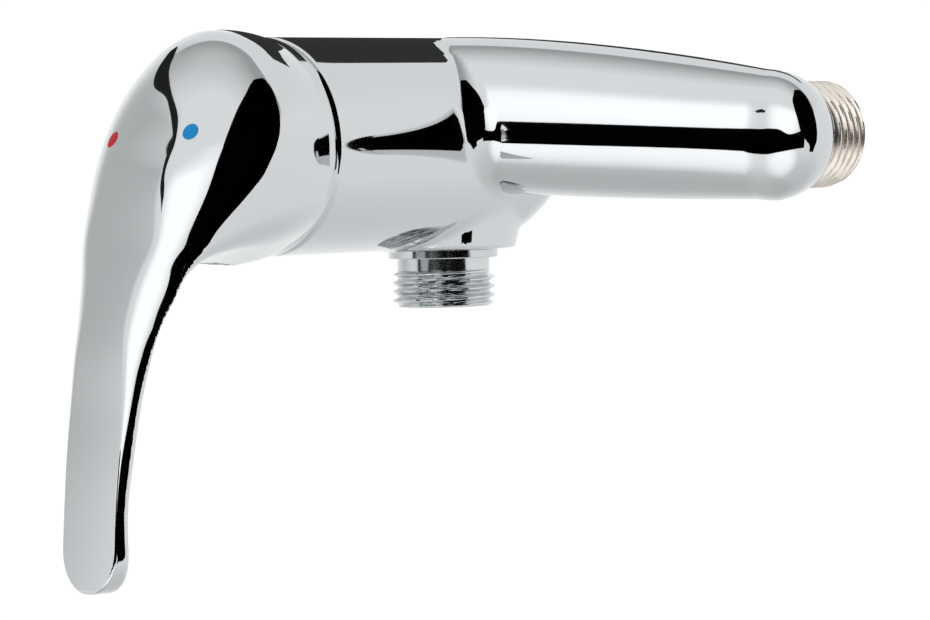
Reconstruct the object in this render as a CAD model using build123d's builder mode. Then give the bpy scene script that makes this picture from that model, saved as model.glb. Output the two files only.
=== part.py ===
from build123d import *
import os
from math import asin, cos, degrees, hypot, pi, radians, sin, tan

# Single lever wall mixer for a shower, in millimetres.
# Origin: midway between the two inlet nipples, on the plane of their open ends.
# +X to the right seen from the front, +Y into the wall, +Z up.
os.makedirs("parts", exist_ok=True)

# Wall connection: two male pipe threads on the standard tap spacing
inlet_spacing = 150.0
pipe_thread_radius = 10.48
pipe_thread_pitch = 1.814
thread_end_chamfer = 0.9
inlet_thread_length = 9.9
inlet_spigot_radius = 8.4
inlet_spigot_length = 6.0
nipple_bore_radius = 6.5
screwed_clearance = 0.05
flat_seal_thickness = 1.2
inlet_seal_bore_radius = 5.6
seal_squash_gap = 0.02
press_gap = 0.02

# Valve housing: a horizontal barrel that points at the user
barrel_radius = 21.5
barrel_rear_y = -14.0
barrel_rear_round = 6.0
barrel_front_y = -82.0
barrel_front_round = 2.0

# Noses: a bun over each wall nipple, widest a little in front of its rear rim
nose_radius = 12.6
nose_widest_y = -16.2
nose_front_depth = 7.4
nose_rear_depth = 11.2
nose_overlap = 0.2

# Arms: swept back from the barrel, their ridge bending forwards where they run into the noses
arm_sweep_deg = 20.0
arm_ridge_y = -11.7
arm_front_depth = 11.8
arm_root_x = 6.0
arm_root_crown = 0.1
arm_root_bottom = 9.3
arm_root_back_depth = 15.0
arm_end_back_depth = 5.0
arm_root_lift = 3.0
arm_top_fall = 1.68
arm_belly = 0.85
arm_bend = 4.2
arm_bend_power = 4
arm_sections = 6

# Hose outlet boss under the barrel
outlet_y = -33.0
boss_radius = 14.9
boss_proud = 0.1
boss_draft_deg = 12.0

# Waterways in the casting
arm_bore_radius = 4.5
arm_bore_end_y = -38.5
port_radius = 3.4
inlet_port_x = 6.2
inlet_port_z = 4.0
outlet_port_z = -8.4
outlet_way_radius = 6.0

# Cartridge pocket
pocket_floor_y = -46.0
nut_back_y = -73.5
ring_recess_y = -78.0
ring_recess_wall = 2.2
nut_side_gap = 0.6
nut_thread_height = 1.1

# Ceramic cartridge
cartridge_side_gap = 0.2
cartridge_wall = 1.8
cartridge_lid = 2.0
cartridge_neck_radius = 11.3
cartridge_neck_y = -76.0
base_thickness = 3.2
base_spigot_height = 2.0
base_seal_wire = 1.6
base_seal_ring_radius = 4.3
base_seal_chamfer = 0.4
disc_side_gap = 1.6
fixed_disc_thickness = 3.6
moving_disc_inset = 2.6
moving_disc_thickness = 3.2
carrier_rim = 0.4
carrier_thickness = 4.6
disc_face_gap = 0.05
carrier_floor = 0.5
mixing_hollow_length = 8.0
mixing_hollow_width = 9.0
mixing_hollow_depth = 1.8
mixing_hollow_drop = 1.5
guide_neck_radius = 9.8
guide_proud = 0.4
running_clearance = 0.05
sliding_gap = 0.3

# Lever spindle and its cross pin
pivot_y = -69.0
pin_radius = 1.25
pin_length = 24.0
spindle_width = 7.0
spindle_front_y = -98.0
spindle_ball_radius = 2.6
spindle_neck_radius = 1.6
spindle_ball_offset = 7.7
lift_deg = 20.0
spindle_slot_gap = 0.35

# Cartridge nut and cover ring
nut_front_y = -77.6
nut_bore_radius = 11.7
nut_key_width = 4.0
nut_key_length = 6.0
nut_key_depth = 2.0
ring_gap = 0.2
ring_front_y = -85.0
ring_edge_chamfer = 0.8
ring_inner_radius = 15.6
ring_lip = 1.4
ring_wall = 2.0
ring_seal_wire = 1.3

# Lever handle: a hollow domed hood with a paddle hanging from it
hood_rim_y = -85.5
hood_rim_radius = 22.0
hood_radius = 23.2
hood_centre_y = -92.9
hood_depth = 19.4
hood_fullness = 1.83
hood_wall = 1.9
hood_rim_wall = 1.1
hood_lip = 1.0
paddle_drop = 83.4
paddle_front_stations = [0.0, 0.06, 0.12, 0.24, 0.317, 0.46, 0.6, 0.79, 1.0]
paddle_front_lean = [0.2, 2.2, 4.1, 5.6, 7.2, 10.1, 12.8, 15.2, 16.6]
paddle_back_stations = [0.307, 0.384, 0.456, 0.54, 0.66, 0.847, 1.0]
paddle_back_lean = [-3.6, 3.6, 6.0, 7.7, 9.7, 11.6, 11.6]
paddle_width_stations = [-0.072, 0.0, 0.06, 0.14, 0.24, 0.32, 0.46, 0.6, 0.79, 0.9]
paddle_widths = [17.0, 22.6, 24.4, 24.9, 25.3, 23.3, 20.3, 17.9, 16.7, 16.3]
paddle_root_z = 6.0
paddle_root_inset = 3.4
paddle_neck_inset = 2.5
paddle_edge_round = 1.6
socket_boss_width = 12.6
socket_boss_rear_y = -84.5
socket_clearance = 0.06
socket_end_gap = 0.4

# Lever grub screw, seen through the hole under the hood
grub_y = -94.5
grub_radius = 2.5
grub_length = 9.0
grub_hex_width = 2.5
grub_hex_depth = 2.6
grub_hole_clearance = 0.12
grub_boss_radius = 4.4

# Red and blue marks let into the hood
mark_radius = 1.65
mark_x = 11.4
hot_mark_z = 2.1
cold_mark_z = 3.2
mark_depth = 0.8

# Hose outlet nipple and the check valve inside it
outlet_flange_radius = 11.2
outlet_flange_thickness = 1.8
outlet_neck_radius = 9.45
outlet_neck_length = 2.5
outlet_thread_length = 7.4
outlet_spigot_radius = 8.6
outlet_spigot_length = 7.0
valve_outer_radius = 7.1
valve_wall = 1.1
valve_length = 11.0
valve_rise = 1.1
poppet_radius = 4.6
poppet_stem_radius = 1.1
poppet_guide_radius = 2.4
poppet_thickness = 2.0
poppet_bevel = 0.6
poppet_guide_height = 2.4
poppet_stem_length = 6.7
valve_seat_radius = 3.8
valve_seat_height = 1.4
spring_wire = 0.4
spring_radius = 2.2
spring_turns = 4

inlet_x = inlet_spacing / 2
inlet_shoulder_y = -inlet_thread_length
inlet_spigot_end_y = inlet_shoulder_y - inlet_spigot_length
boss_bottom_z = -barrel_radius - boss_proud
ring_recess_radius = barrel_radius - ring_recess_wall
nut_thread_radius = ring_recess_radius - nut_side_gap
pocket_radius = nut_thread_radius - nut_thread_height
outlet_socket_depth = outlet_spigot_length + flat_seal_thickness
sides = {"left": -1, "right": 1}


def oval_points(centre, depth, radius, turns, fullness=2.0):
    """Points on a rounded end from its widest place, at the given turns in degrees towards its tip."""
    power = 2 / fullness
    angles = [radians(turn) for turn in turns]
    return [(centre - depth * sin(a) ** power, radius * cos(a) ** power) for a in angles]


def arm_plane(x, side, lift):
    """Plane square to the swept arm, its local x towards the wall."""
    sweep = radians(arm_sweep_deg)
    ridge_y = arm_ridge_y - (inlet_x - x) * tan(sweep)
    return Plane(
        origin=(side * x, ridge_y, lift),
        x_dir=(-side * sin(sweep), cos(sweep), 0),
        z_dir=(side * cos(sweep), sin(sweep), 0),
    )


def arm_section(share, side):
    """Arm outline at a share of its length, as four quarter ellipses."""
    x = arm_root_x + (inlet_x - arm_root_x) * share
    lift = arm_root_lift * (1 - share)
    end_height = nose_radius - nose_overlap
    bend = arm_bend * share**arm_bend_power
    middle = -bend * cos(radians(arm_sweep_deg))
    front = arm_front_depth - bend
    back = arm_root_back_depth + (arm_end_back_depth - arm_root_back_depth) * share
    root_top = barrel_radius - arm_root_crown
    top = root_top + (end_height - root_top) * share**arm_top_fall - lift
    belly = arm_belly * sin(pi * share)
    bottom = arm_root_bottom + (end_height - arm_root_bottom) * share + belly + lift
    upper = top if side > 0 else bottom
    lower = bottom if side > 0 else top
    with BuildSketch(arm_plane(x, side, lift)) as section:
        with BuildLine():
            EllipticalCenterArc((middle, 0), back, upper, start_angle=0, arc_size=90)
            EllipticalCenterArc((middle, 0), front, upper, start_angle=90, arc_size=90)
            EllipticalCenterArc((middle, 0), front, lower, start_angle=180, arc_size=90)
            EllipticalCenterArc((middle, 0), back, lower, start_angle=270, arc_size=90)
        make_face()
    return section.sketch


# Body: one brass casting with barrel, swept arms, noses, outlet boss, pocket and waterways
with BuildPart() as mixer_body:
    with BuildSketch(Plane.YZ):
        Polygon(
            (barrel_rear_y, 0),
            (barrel_rear_y, barrel_radius),
            (barrel_front_y, barrel_radius),
            (barrel_front_y, 0),
            align=None,
        )
    revolve(axis=Axis.Y)
    rims = edges().filter_by(GeomType.CIRCLE).sort_by(Axis.Y)
    fillet(rims[0], barrel_front_round)
    fillet(rims[-1], barrel_rear_round)
    # Outlet boss with the draft of a casting
    with BuildSketch(Plane.XY.offset(boss_bottom_z)):
        with Locations((0, outlet_y)):
            Circle(boss_radius)
    extrude(amount=-boss_bottom_z, taper=-boss_draft_deg)
    # Swept arms, then the round noses behind which the wall nipples screw in
    rim_turn = degrees(asin((inlet_shoulder_y - nose_widest_y) / nose_rear_depth))
    rear_turns = [rim_turn, rim_turn * 2 / 3, rim_turn / 3, 0]
    nose_rear = oval_points(nose_widest_y, -nose_rear_depth, nose_radius, rear_turns)
    nose_front = oval_points(nose_widest_y, nose_front_depth, nose_radius, range(0, 90, 15))
    nose_tip = (nose_widest_y - nose_front_depth, 0)
    for side in sides.values():
        loft(sections=[arm_section(i / (arm_sections - 1), side) for i in range(arm_sections)])
        with BuildSketch(Plane(origin=(side * inlet_x, 0, 0), x_dir=(0, 1, 0), z_dir=(1, 0, 0))):
            with BuildLine():
                Spline(*nose_rear)
                Spline(*nose_front, nose_tip, tangents=[(-1, 0), (0, -1)])
                Line(nose_tip, (inlet_shoulder_y, 0))
                Line((inlet_shoulder_y, 0), nose_rear[0])
            make_face()
        revolve(axis=Axis((side * inlet_x, 0, 0), (0, 1, 0)))
    # Stepped cartridge pocket, open to the front
    with BuildSketch(Plane.YZ):
        Polygon(
            (pocket_floor_y, 0),
            (pocket_floor_y, pocket_radius),
            (nut_back_y, pocket_radius),
            (nut_back_y, nut_thread_radius + screwed_clearance),
            (ring_recess_y, nut_thread_radius + screwed_clearance),
            (ring_recess_y, ring_recess_radius),
            (barrel_front_y, ring_recess_radius),
            (barrel_front_y, 0),
            align=None,
        )
    revolve(axis=Axis.Y, mode=Mode.SUBTRACT)
    # Waterways: nipple sockets, bores along the arms and ports in the pocket floor
    for side in sides.values():
        with BuildSketch(Plane.XZ.offset(-inlet_shoulder_y)):
            with Locations((side * inlet_x, 0)):
                Circle(inlet_spigot_radius + screwed_clearance)
        extrude(amount=inlet_spigot_length + flat_seal_thickness, mode=Mode.SUBTRACT)
        arm_bore_start = Vector(side * inlet_x, nose_widest_y, 0)
        arm_bore_end = Vector(side * inlet_port_x, arm_bore_end_y, inlet_port_z)
        along = arm_bore_end - arm_bore_start
        with BuildSketch(Plane(origin=arm_bore_start, z_dir=along)):
            Circle(arm_bore_radius)
        extrude(amount=along.length, mode=Mode.SUBTRACT)
        with BuildSketch(Plane.XZ.offset(-pocket_floor_y)):
            with Locations((side * inlet_port_x, inlet_port_z)):
                Circle(port_radius)
        extrude(amount=pocket_floor_y - arm_bore_end_y - port_radius, mode=Mode.SUBTRACT)
    # Mixed water runs from the lower port to the hose outlet
    with BuildSketch(Plane.XZ.offset(-pocket_floor_y)):
        with Locations((0, outlet_port_z)):
            Circle(port_radius)
    extrude(amount=pocket_floor_y - outlet_y, mode=Mode.SUBTRACT)
    with BuildSketch(Plane.XY.offset(boss_bottom_z)):
        with Locations((0, outlet_y)):
            Circle(outlet_spigot_radius + screwed_clearance)
    extrude(amount=outlet_socket_depth, mode=Mode.SUBTRACT)
    with BuildSketch(Plane.XY.offset(boss_bottom_z)):
        with Locations((0, outlet_y)):
            Circle(outlet_way_radius)
    extrude(amount=outlet_port_z + port_radius - boss_bottom_z, mode=Mode.SUBTRACT)


def save(piece, name):
    """Label one finished piece and write it as its own file."""
    piece.label = name
    export_step(piece, f"parts/{name}.step")


save(mixer_body.part, "mixer_body")


def ring_solid(plane, axis, near, far, inner, outer):
    """Plain turned ring between two stations along an axis."""
    with BuildPart() as turned:
        with BuildSketch(plane):
            Polygon((near, inner), (near, outer), (far, outer), (far, inner), align=None)
        revolve(axis=axis)
    return turned.part


# Wall nipples: male pipe thread, screwed into the nose with a shorter inner spigot
for name, side in sides.items():
    nipple_axis = Axis((side * inlet_x, 0, 0), (0, 1, 0))
    nipple_plane = Plane(origin=(side * inlet_x, 0, 0), x_dir=(0, 1, 0), z_dir=(1, 0, 0))
    with BuildPart() as inlet_nipple:
        with BuildSketch(nipple_plane):
            Polygon(
                (inlet_spigot_end_y, nipple_bore_radius),
                (inlet_spigot_end_y, inlet_spigot_radius),
                (inlet_shoulder_y, inlet_spigot_radius),
                (inlet_shoulder_y, pipe_thread_radius),
                (-thread_end_chamfer, pipe_thread_radius),
                (0, pipe_thread_radius - thread_end_chamfer),
                (0, nipple_bore_radius),
                align=None,
            )
        revolve(axis=nipple_axis)
    save(inlet_nipple.part, f"inlet_nipple_{name}")

# Hose outlet nipple: flange, plain neck, male pipe thread and inner spigot
outlet_axis = Axis((0, outlet_y, 0), (0, 0, 1))
outlet_plane = Plane(origin=(0, outlet_y, 0), x_dir=(0, 0, 1), z_dir=(0, 1, 0))
outlet_flange_bottom_z = boss_bottom_z - outlet_flange_thickness
outlet_neck_end_z = outlet_flange_bottom_z - outlet_neck_length
outlet_end_z = outlet_neck_end_z - outlet_thread_length
outlet_spigot_top_z = boss_bottom_z + outlet_spigot_length
with BuildPart() as outlet_nipple:
    with BuildSketch(outlet_plane):
        Polygon(
            (outlet_spigot_top_z, valve_outer_radius + running_clearance),
            (outlet_spigot_top_z, outlet_spigot_radius),
            (boss_bottom_z, outlet_spigot_radius),
            (boss_bottom_z, outlet_flange_radius),
            (outlet_flange_bottom_z, outlet_flange_radius),
            (outlet_flange_bottom_z, outlet_neck_radius),
            (outlet_neck_end_z, outlet_neck_radius),
            (outlet_neck_end_z, pipe_thread_radius),
            (outlet_end_z + thread_end_chamfer, pipe_thread_radius),
            (outlet_end_z, pipe_thread_radius - thread_end_chamfer),
            (outlet_end_z, valve_outer_radius + running_clearance),
            align=None,
        )
    revolve(axis=outlet_axis)
save(outlet_nipple.part, "outlet_nipple")

# Flat seals squeezed between the spigots and the bottoms of their sockets
for name, side in sides.items():
    seal_axis = Axis((side * inlet_x, 0, 0), (0, 1, 0))
    seal_plane = Plane(origin=(side * inlet_x, 0, 0), x_dir=(0, 1, 0), z_dir=(1, 0, 0))
    seal = ring_solid(
        seal_plane,
        seal_axis,
        inlet_spigot_end_y,
        inlet_spigot_end_y - flat_seal_thickness,
        inlet_seal_bore_radius,
        inlet_spigot_radius,
    )
    save(seal, f"inlet_seal_{name}")
outlet_seal = ring_solid(
    outlet_plane,
    outlet_axis,
    outlet_spigot_top_z,
    outlet_spigot_top_z + flat_seal_thickness,
    outlet_way_radius,
    outlet_spigot_radius,
)
save(outlet_seal, "outlet_seal")

# Check valve in the outlet nipple: tube with a seat above and a three armed guide below
valve_top_z = boss_bottom_z + valve_rise
valve_bottom_z = valve_top_z - valve_length
valve_inner_radius = valve_outer_radius - valve_wall
guide_top_z = valve_bottom_z + poppet_guide_height
with BuildPart() as check_valve_housing:
    with BuildSketch(Plane.XY.offset(valve_bottom_z)):
        with Locations((0, outlet_y)):
            Circle(valve_outer_radius)
    extrude(amount=valve_length)
    with BuildSketch(Plane.XY.offset(valve_top_z)):
        with Locations((0, outlet_y)):
            Circle(valve_seat_radius)
    extrude(amount=-valve_length, mode=Mode.SUBTRACT)
    with BuildSketch(Plane.XY.offset(valve_top_z - valve_seat_height)):
        with Locations((0, outlet_y)):
            Circle(valve_inner_radius)
    extrude(amount=-valve_length, mode=Mode.SUBTRACT)
    with BuildSketch(Plane.XY.offset(valve_bottom_z)):
        with Locations((0, outlet_y)):
            Circle(poppet_guide_radius)
            with PolarLocations(valve_inner_radius / 2, 3):
                Rectangle(valve_inner_radius + valve_wall, valve_wall)
            Circle(poppet_stem_radius + running_clearance, mode=Mode.SUBTRACT)
    extrude(amount=poppet_guide_height)
save(check_valve_housing.part, "check_valve_housing")

# Poppet: a disc under the seat with a stem that slides in the guide
poppet_top_z = valve_top_z - valve_seat_height - seal_squash_gap
poppet_under_z = poppet_top_z - poppet_thickness
poppet_stem_end_z = poppet_top_z - poppet_thickness - poppet_stem_length
with BuildPart() as check_valve_poppet:
    with BuildSketch(outlet_plane):
        Polygon(
            (poppet_top_z, 0),
            (poppet_top_z, poppet_radius - poppet_bevel),
            (poppet_top_z - poppet_bevel, poppet_radius),
            (poppet_under_z, poppet_radius),
            (poppet_under_z, poppet_stem_radius),
            (poppet_stem_end_z, poppet_stem_radius),
            (poppet_stem_end_z, 0),
            align=None,
        )
    revolve(axis=outlet_axis)
save(check_valve_poppet.part, "check_valve_poppet")

# Closing spring between the poppet and the guide
spring_bottom_z = guide_top_z + spring_wire / 2 + seal_squash_gap
spring_height = poppet_under_z - guide_top_z - spring_wire - 2 * seal_squash_gap
with BuildPart() as check_valve_spring:
    with BuildLine() as coil:
        Helix(
            pitch=spring_height / spring_turns,
            height=spring_height,
            radius=spring_radius,
            center=(0, outlet_y, spring_bottom_z),
        )
    with BuildSketch(Plane(origin=coil.line @ 0, z_dir=coil.line % 0)):
        Circle(spring_wire / 2)
    sweep()
save(check_valve_spring.part, "check_valve_spring")

# Cartridge base: plastic plug with three ports and a seal groove round each one
ports = [(-inlet_port_x, inlet_port_z), (inlet_port_x, inlet_port_z), (0, outlet_port_z)]
base_front_y = pocket_floor_y - base_thickness
spigot_front_y = base_front_y - base_spigot_height
cartridge_radius = pocket_radius - cartridge_side_gap
cartridge_bore_radius = cartridge_radius - cartridge_wall
groove_depth = base_seal_wire + seal_squash_gap
with BuildPart() as cartridge_base:
    with BuildSketch(Plane.XZ.offset(-pocket_floor_y)):
        Circle(cartridge_radius)
    extrude(amount=base_thickness)
    with BuildSketch(Plane.XZ.offset(-base_front_y)):
        Circle(cartridge_bore_radius - press_gap)
    extrude(amount=base_spigot_height)
    with BuildSketch(Plane.XZ.offset(-pocket_floor_y)):
        with Locations(*ports):
            Circle(port_radius)
    extrude(amount=base_thickness + base_spigot_height, mode=Mode.SUBTRACT)
    with BuildSketch(Plane.XZ.offset(-pocket_floor_y)):
        with Locations(*ports):
            Circle(base_seal_ring_radius + base_seal_wire / 2 + seal_squash_gap)
    extrude(amount=groove_depth, mode=Mode.SUBTRACT)
save(cartridge_base.part, "cartridge_base")

# Rubber rings that seal the three ports against the pocket floor
with BuildPart() as base_seals:
    with BuildSketch(Plane.XZ.offset(-pocket_floor_y)):
        with Locations(*ports):
            Circle(base_seal_ring_radius + base_seal_wire / 2)
            Circle(base_seal_ring_radius - base_seal_wire / 2, mode=Mode.SUBTRACT)
    extrude(amount=base_seal_wire)
    chamfer(edges().filter_by(GeomType.CIRCLE), base_seal_chamfer)
save(base_seals.part, "base_seals")

# Fixed ceramic disc with the three ports
fixed_front_y = spigot_front_y - fixed_disc_thickness
fixed_disc_radius = cartridge_bore_radius - disc_side_gap
with BuildPart() as fixed_ceramic_disc:
    with BuildSketch(Plane.XZ.offset(-spigot_front_y)):
        Circle(fixed_disc_radius)
        with Locations(*ports):
            Circle(port_radius, mode=Mode.SUBTRACT)
    extrude(amount=fixed_disc_thickness)
save(fixed_ceramic_disc.part, "fixed_ceramic_disc")

# Moving ceramic disc: its hollow back joins the ports
moving_back_y = fixed_front_y - disc_face_gap
moving_front_y = moving_back_y - moving_disc_thickness
moving_disc_radius = fixed_disc_radius - moving_disc_inset
with BuildPart() as moving_ceramic_disc:
    with BuildSketch(Plane.XZ.offset(-moving_back_y)):
        Circle(moving_disc_radius)
    extrude(amount=moving_disc_thickness)
    with BuildSketch(Plane.XZ.offset(-moving_back_y)):
        with Locations((0, -mixing_hollow_drop)):
            SlotCenterToCenter(mixing_hollow_length, mixing_hollow_width, rotation=90)
    extrude(amount=mixing_hollow_depth, mode=Mode.SUBTRACT)
save(moving_ceramic_disc.part, "moving_ceramic_disc")

# Disc carrier: holds the moving disc and takes the ball end of the spindle
carrier_front_y = moving_front_y - carrier_thickness
carrier_radius = moving_disc_radius + carrier_rim
ball_y = pivot_y + spindle_ball_offset
ball_play = spindle_ball_radius + running_clearance
with BuildPart() as disc_carrier:
    with BuildSketch(Plane.XZ.offset(-moving_front_y)):
        Circle(carrier_radius)
    extrude(amount=carrier_thickness)
    with BuildSketch(Plane.XZ.offset(-carrier_front_y)):
        Rectangle(2 * ball_play, 2 * ball_play)
    extrude(amount=-(carrier_thickness - carrier_floor), mode=Mode.SUBTRACT)
save(disc_carrier.part, "disc_carrier")

# Cartridge housing: plastic cup, open behind, with a neck that guides the turning piece
lid_back_y = nut_back_y + cartridge_lid
with BuildPart() as cartridge_housing:
    with BuildSketch(Plane.YZ):
        Polygon(
            (base_front_y, cartridge_bore_radius),
            (base_front_y, cartridge_radius),
            (nut_back_y, cartridge_radius),
            (nut_back_y, cartridge_neck_radius),
            (cartridge_neck_y, cartridge_neck_radius),
            (cartridge_neck_y, guide_neck_radius + running_clearance),
            (lid_back_y, guide_neck_radius + running_clearance),
            (lid_back_y, cartridge_bore_radius),
            align=None,
        )
    revolve(axis=Axis.Y)
save(cartridge_housing.part, "cartridge_housing")

# Spindle guide: turns in the neck and carries the cross pin; its slot lets the spindle tilt
guide_back_y = carrier_front_y - sliding_gap
guide_shoulder_y = lid_back_y + running_clearance
guide_front_y = cartridge_neck_y - guide_proud
spindle_half = spindle_width / 2
lift = radians(lift_deg)
tilted_half = spindle_half / cos(lift)
slot_front_rise = (pivot_y - guide_front_y) * tan(lift) + tilted_half + spindle_slot_gap
slot_back_drop = (guide_back_y - pivot_y) * tan(lift) + tilted_half + spindle_slot_gap
slot_rest = spindle_half + spindle_slot_gap
slot_waist = tilted_half + spindle_slot_gap
with BuildPart() as spindle_guide:
    with BuildSketch(Plane.YZ):
        Polygon(
            (guide_back_y, 0),
            (guide_back_y, cartridge_bore_radius - sliding_gap),
            (guide_shoulder_y, cartridge_bore_radius - sliding_gap),
            (guide_shoulder_y, guide_neck_radius),
            (guide_front_y, guide_neck_radius),
            (guide_front_y, 0),
            align=None,
        )
    revolve(axis=Axis.Y)
    with BuildSketch(Plane.YZ):
        Polygon(
            (guide_front_y, -slot_rest),
            (guide_front_y, slot_front_rise),
            (pivot_y, slot_waist),
            (guide_back_y, slot_rest),
            (guide_back_y, -slot_back_drop),
            (pivot_y, -slot_waist),
            align=None,
        )
    extrude(amount=slot_rest, both=True, mode=Mode.SUBTRACT)
    with BuildSketch(Plane.YZ):
        with Locations((pivot_y, 0)):
            Circle(pin_radius + press_gap)
    extrude(amount=cartridge_bore_radius, both=True, mode=Mode.SUBTRACT)
save(spindle_guide.part, "spindle_guide")

# Cross pin on which the spindle tilts
with BuildPart() as spindle_pin:
    with BuildSketch(Plane.YZ):
        with Locations((pivot_y, 0)):
            Circle(pin_radius)
    extrude(amount=pin_length / 2, both=True)
save(spindle_pin.part, "spindle_pin")

# Spindle: square bar in front, bored for the pin, with a neck and a ball behind
spindle_shoulder_y = pivot_y + spindle_half
with BuildPart() as lever_spindle:
    with BuildSketch(Plane.XZ.offset(-spindle_shoulder_y)):
        Rectangle(spindle_width, spindle_width)
    extrude(amount=spindle_shoulder_y - spindle_front_y)
    with BuildSketch(Plane.XZ.offset(-ball_y)):
        Circle(spindle_neck_radius)
    extrude(amount=ball_y - spindle_shoulder_y)
    with Locations((0, ball_y, 0)):
        Sphere(spindle_ball_radius)
    with BuildSketch(Plane.YZ):
        with Locations((pivot_y, 0)):
            Circle(pin_radius + running_clearance)
    extrude(amount=spindle_width, both=True, mode=Mode.SUBTRACT)
save(lever_spindle.part, "lever_spindle")

# Brass nut that holds the cartridge down, with four key slots in its face
with BuildPart() as cartridge_nut:
    with BuildSketch(Plane.XZ.offset(-nut_back_y)):
        Circle(nut_thread_radius)
        Circle(nut_bore_radius, mode=Mode.SUBTRACT)
    extrude(amount=nut_back_y - nut_front_y)
    with BuildSketch(Plane.XZ.offset(-nut_front_y)):
        with PolarLocations(nut_bore_radius, 4, start_angle=45):
            Rectangle(nut_key_length, nut_key_width)
    extrude(amount=-nut_key_depth, mode=Mode.SUBTRACT)
save(cartridge_nut.part, "cartridge_nut")

# Cover ring: chromed band between body and hood, pushed into the front recess
ring_rear_y = barrel_front_y - ring_gap
ring_skirt_radius = ring_recess_radius - running_clearance
ring_skirt_end_y = ring_recess_y - sliding_gap
ring_seal_y = (ring_skirt_end_y + ring_rear_y) / 2
ring_seal_groove = ring_seal_wire + 2 * seal_squash_gap
with BuildPart() as cover_ring:
    with BuildSketch(Plane.YZ):
        Polygon(
            (ring_skirt_end_y, ring_skirt_radius - ring_wall),
            (ring_skirt_end_y, ring_skirt_radius),
            (ring_rear_y, ring_skirt_radius),
            (ring_rear_y, barrel_radius),
            (ring_front_y + ring_edge_chamfer, barrel_radius),
            (ring_front_y, barrel_radius - ring_edge_chamfer),
            (ring_front_y, ring_inner_radius),
            (ring_front_y + ring_lip, ring_inner_radius),
            (ring_front_y + ring_lip, ring_skirt_radius - ring_wall),
            align=None,
        )
    revolve(axis=Axis.Y)
    with BuildSketch(Plane.YZ):
        with Locations((ring_seal_y, ring_skirt_radius)):
            Rectangle(ring_seal_groove, 2 * ring_seal_wire)
    revolve(axis=Axis.Y, mode=Mode.SUBTRACT)
save(cover_ring.part, "cover_ring")

# Rubber ring in the groove of the cover ring
with BuildPart() as cover_ring_seal:
    with BuildSketch(Plane.YZ):
        with Locations((ring_seal_y, ring_recess_radius - ring_seal_wire / 2 - seal_squash_gap)):
            Circle(ring_seal_wire / 2 - seal_squash_gap)
    revolve(axis=Axis.Y)
save(cover_ring_seal.part, "cover_ring_seal")

# Outer form of the hood: a drawn in rim and a domed front
def dome_points(wall):
    """Outline from the hood's widest place to its front, a wall's thickness inside the face."""
    depth = hood_depth - wall
    outline = oval_points(hood_centre_y, depth, hood_radius - wall, range(0, 90, 15), hood_fullness)
    return outline + [(hood_centre_y - depth, 0)]


def mark_plane(x, z):
    """Plane under the hood's face where a coloured mark sits, looking outwards."""
    share = hypot(x, z) / hood_radius
    height = (1 - share**hood_fullness) ** (1 / hood_fullness)
    on_face = Vector(x, hood_centre_y - hood_depth * height, z)
    sideways = share ** (hood_fullness - 1) / (hood_radius * hypot(x, z))
    forwards = height ** (hood_fullness - 1) / hood_depth
    outward = Vector(x * sideways, -forwards, z * sideways).normalized()
    return Plane(origin=on_face - outward * mark_depth, z_dir=outward)


with BuildPart() as hood_form:
    with BuildSketch(Plane.YZ):
        with BuildLine():
            Line((hood_rim_y, 0), (hood_rim_y, hood_rim_radius))
            Spline(
                (hood_rim_y, hood_rim_radius),
                (hood_centre_y, hood_radius),
                tangents=[(hood_centre_y - hood_rim_y, 2 * (hood_radius - hood_rim_radius)), (-1, 0)],
            )
            Spline(*dome_points(0), tangents=[(-1, 0), (0, -1)])
            Line((hood_centre_y - hood_depth, 0), (hood_rim_y, 0))
        make_face()
    revolve(axis=Axis.Y)

# Paddle: side outline crossed with front outline, its long edges rounded
hood_front_y = hood_centre_y - hood_depth
paddle_back = [
    (hood_front_y - lean, -share * paddle_drop)
    for share, lean in zip(paddle_back_stations, paddle_back_lean)
]
paddle_front = [
    (hood_front_y - lean, -share * paddle_drop)
    for share, lean in zip(paddle_front_stations, paddle_front_lean)
]
paddle_root_front = (hood_front_y + paddle_root_inset, paddle_root_z)
paddle_root_back = (hood_centre_y + paddle_neck_inset, paddle_root_z)
paddle_neck_back = (hood_centre_y - paddle_neck_inset, -hood_radius + hood_wall)
with BuildPart() as paddle:
    with BuildSketch(Plane.YZ):
        with BuildLine():
            Spline(paddle_root_front, *paddle_front)
            Line(paddle_front[-1], paddle_back[-1])
            Spline(*reversed(paddle_back), paddle_neck_back)
            Line(paddle_neck_back, paddle_root_back)
            Line(paddle_root_back, paddle_root_front)
        make_face()
    extrude(amount=hood_radius, both=True)
    edge_points = [
        (width / 2, -share * paddle_drop)
        for share, width in zip(paddle_width_stations, paddle_widths)
    ]
    other_edge = [(-x, z) for x, z in reversed(edge_points)]
    with BuildSketch(Plane.XZ):
        with BuildLine():
            Spline(*edge_points)
            ThreePointArc(edge_points[-1], (0, -paddle_drop), other_edge[0])
            Spline(*other_edge)
            Line(other_edge[-1], edge_points[0])
        make_face()
    extrude(amount=2 * -hood_front_y, both=True, mode=Mode.INTERSECT)
    long_edges = [edge for edge in edges() if edge.length > paddle_drop / 2]
    fillet(long_edges, paddle_edge_round)

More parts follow.
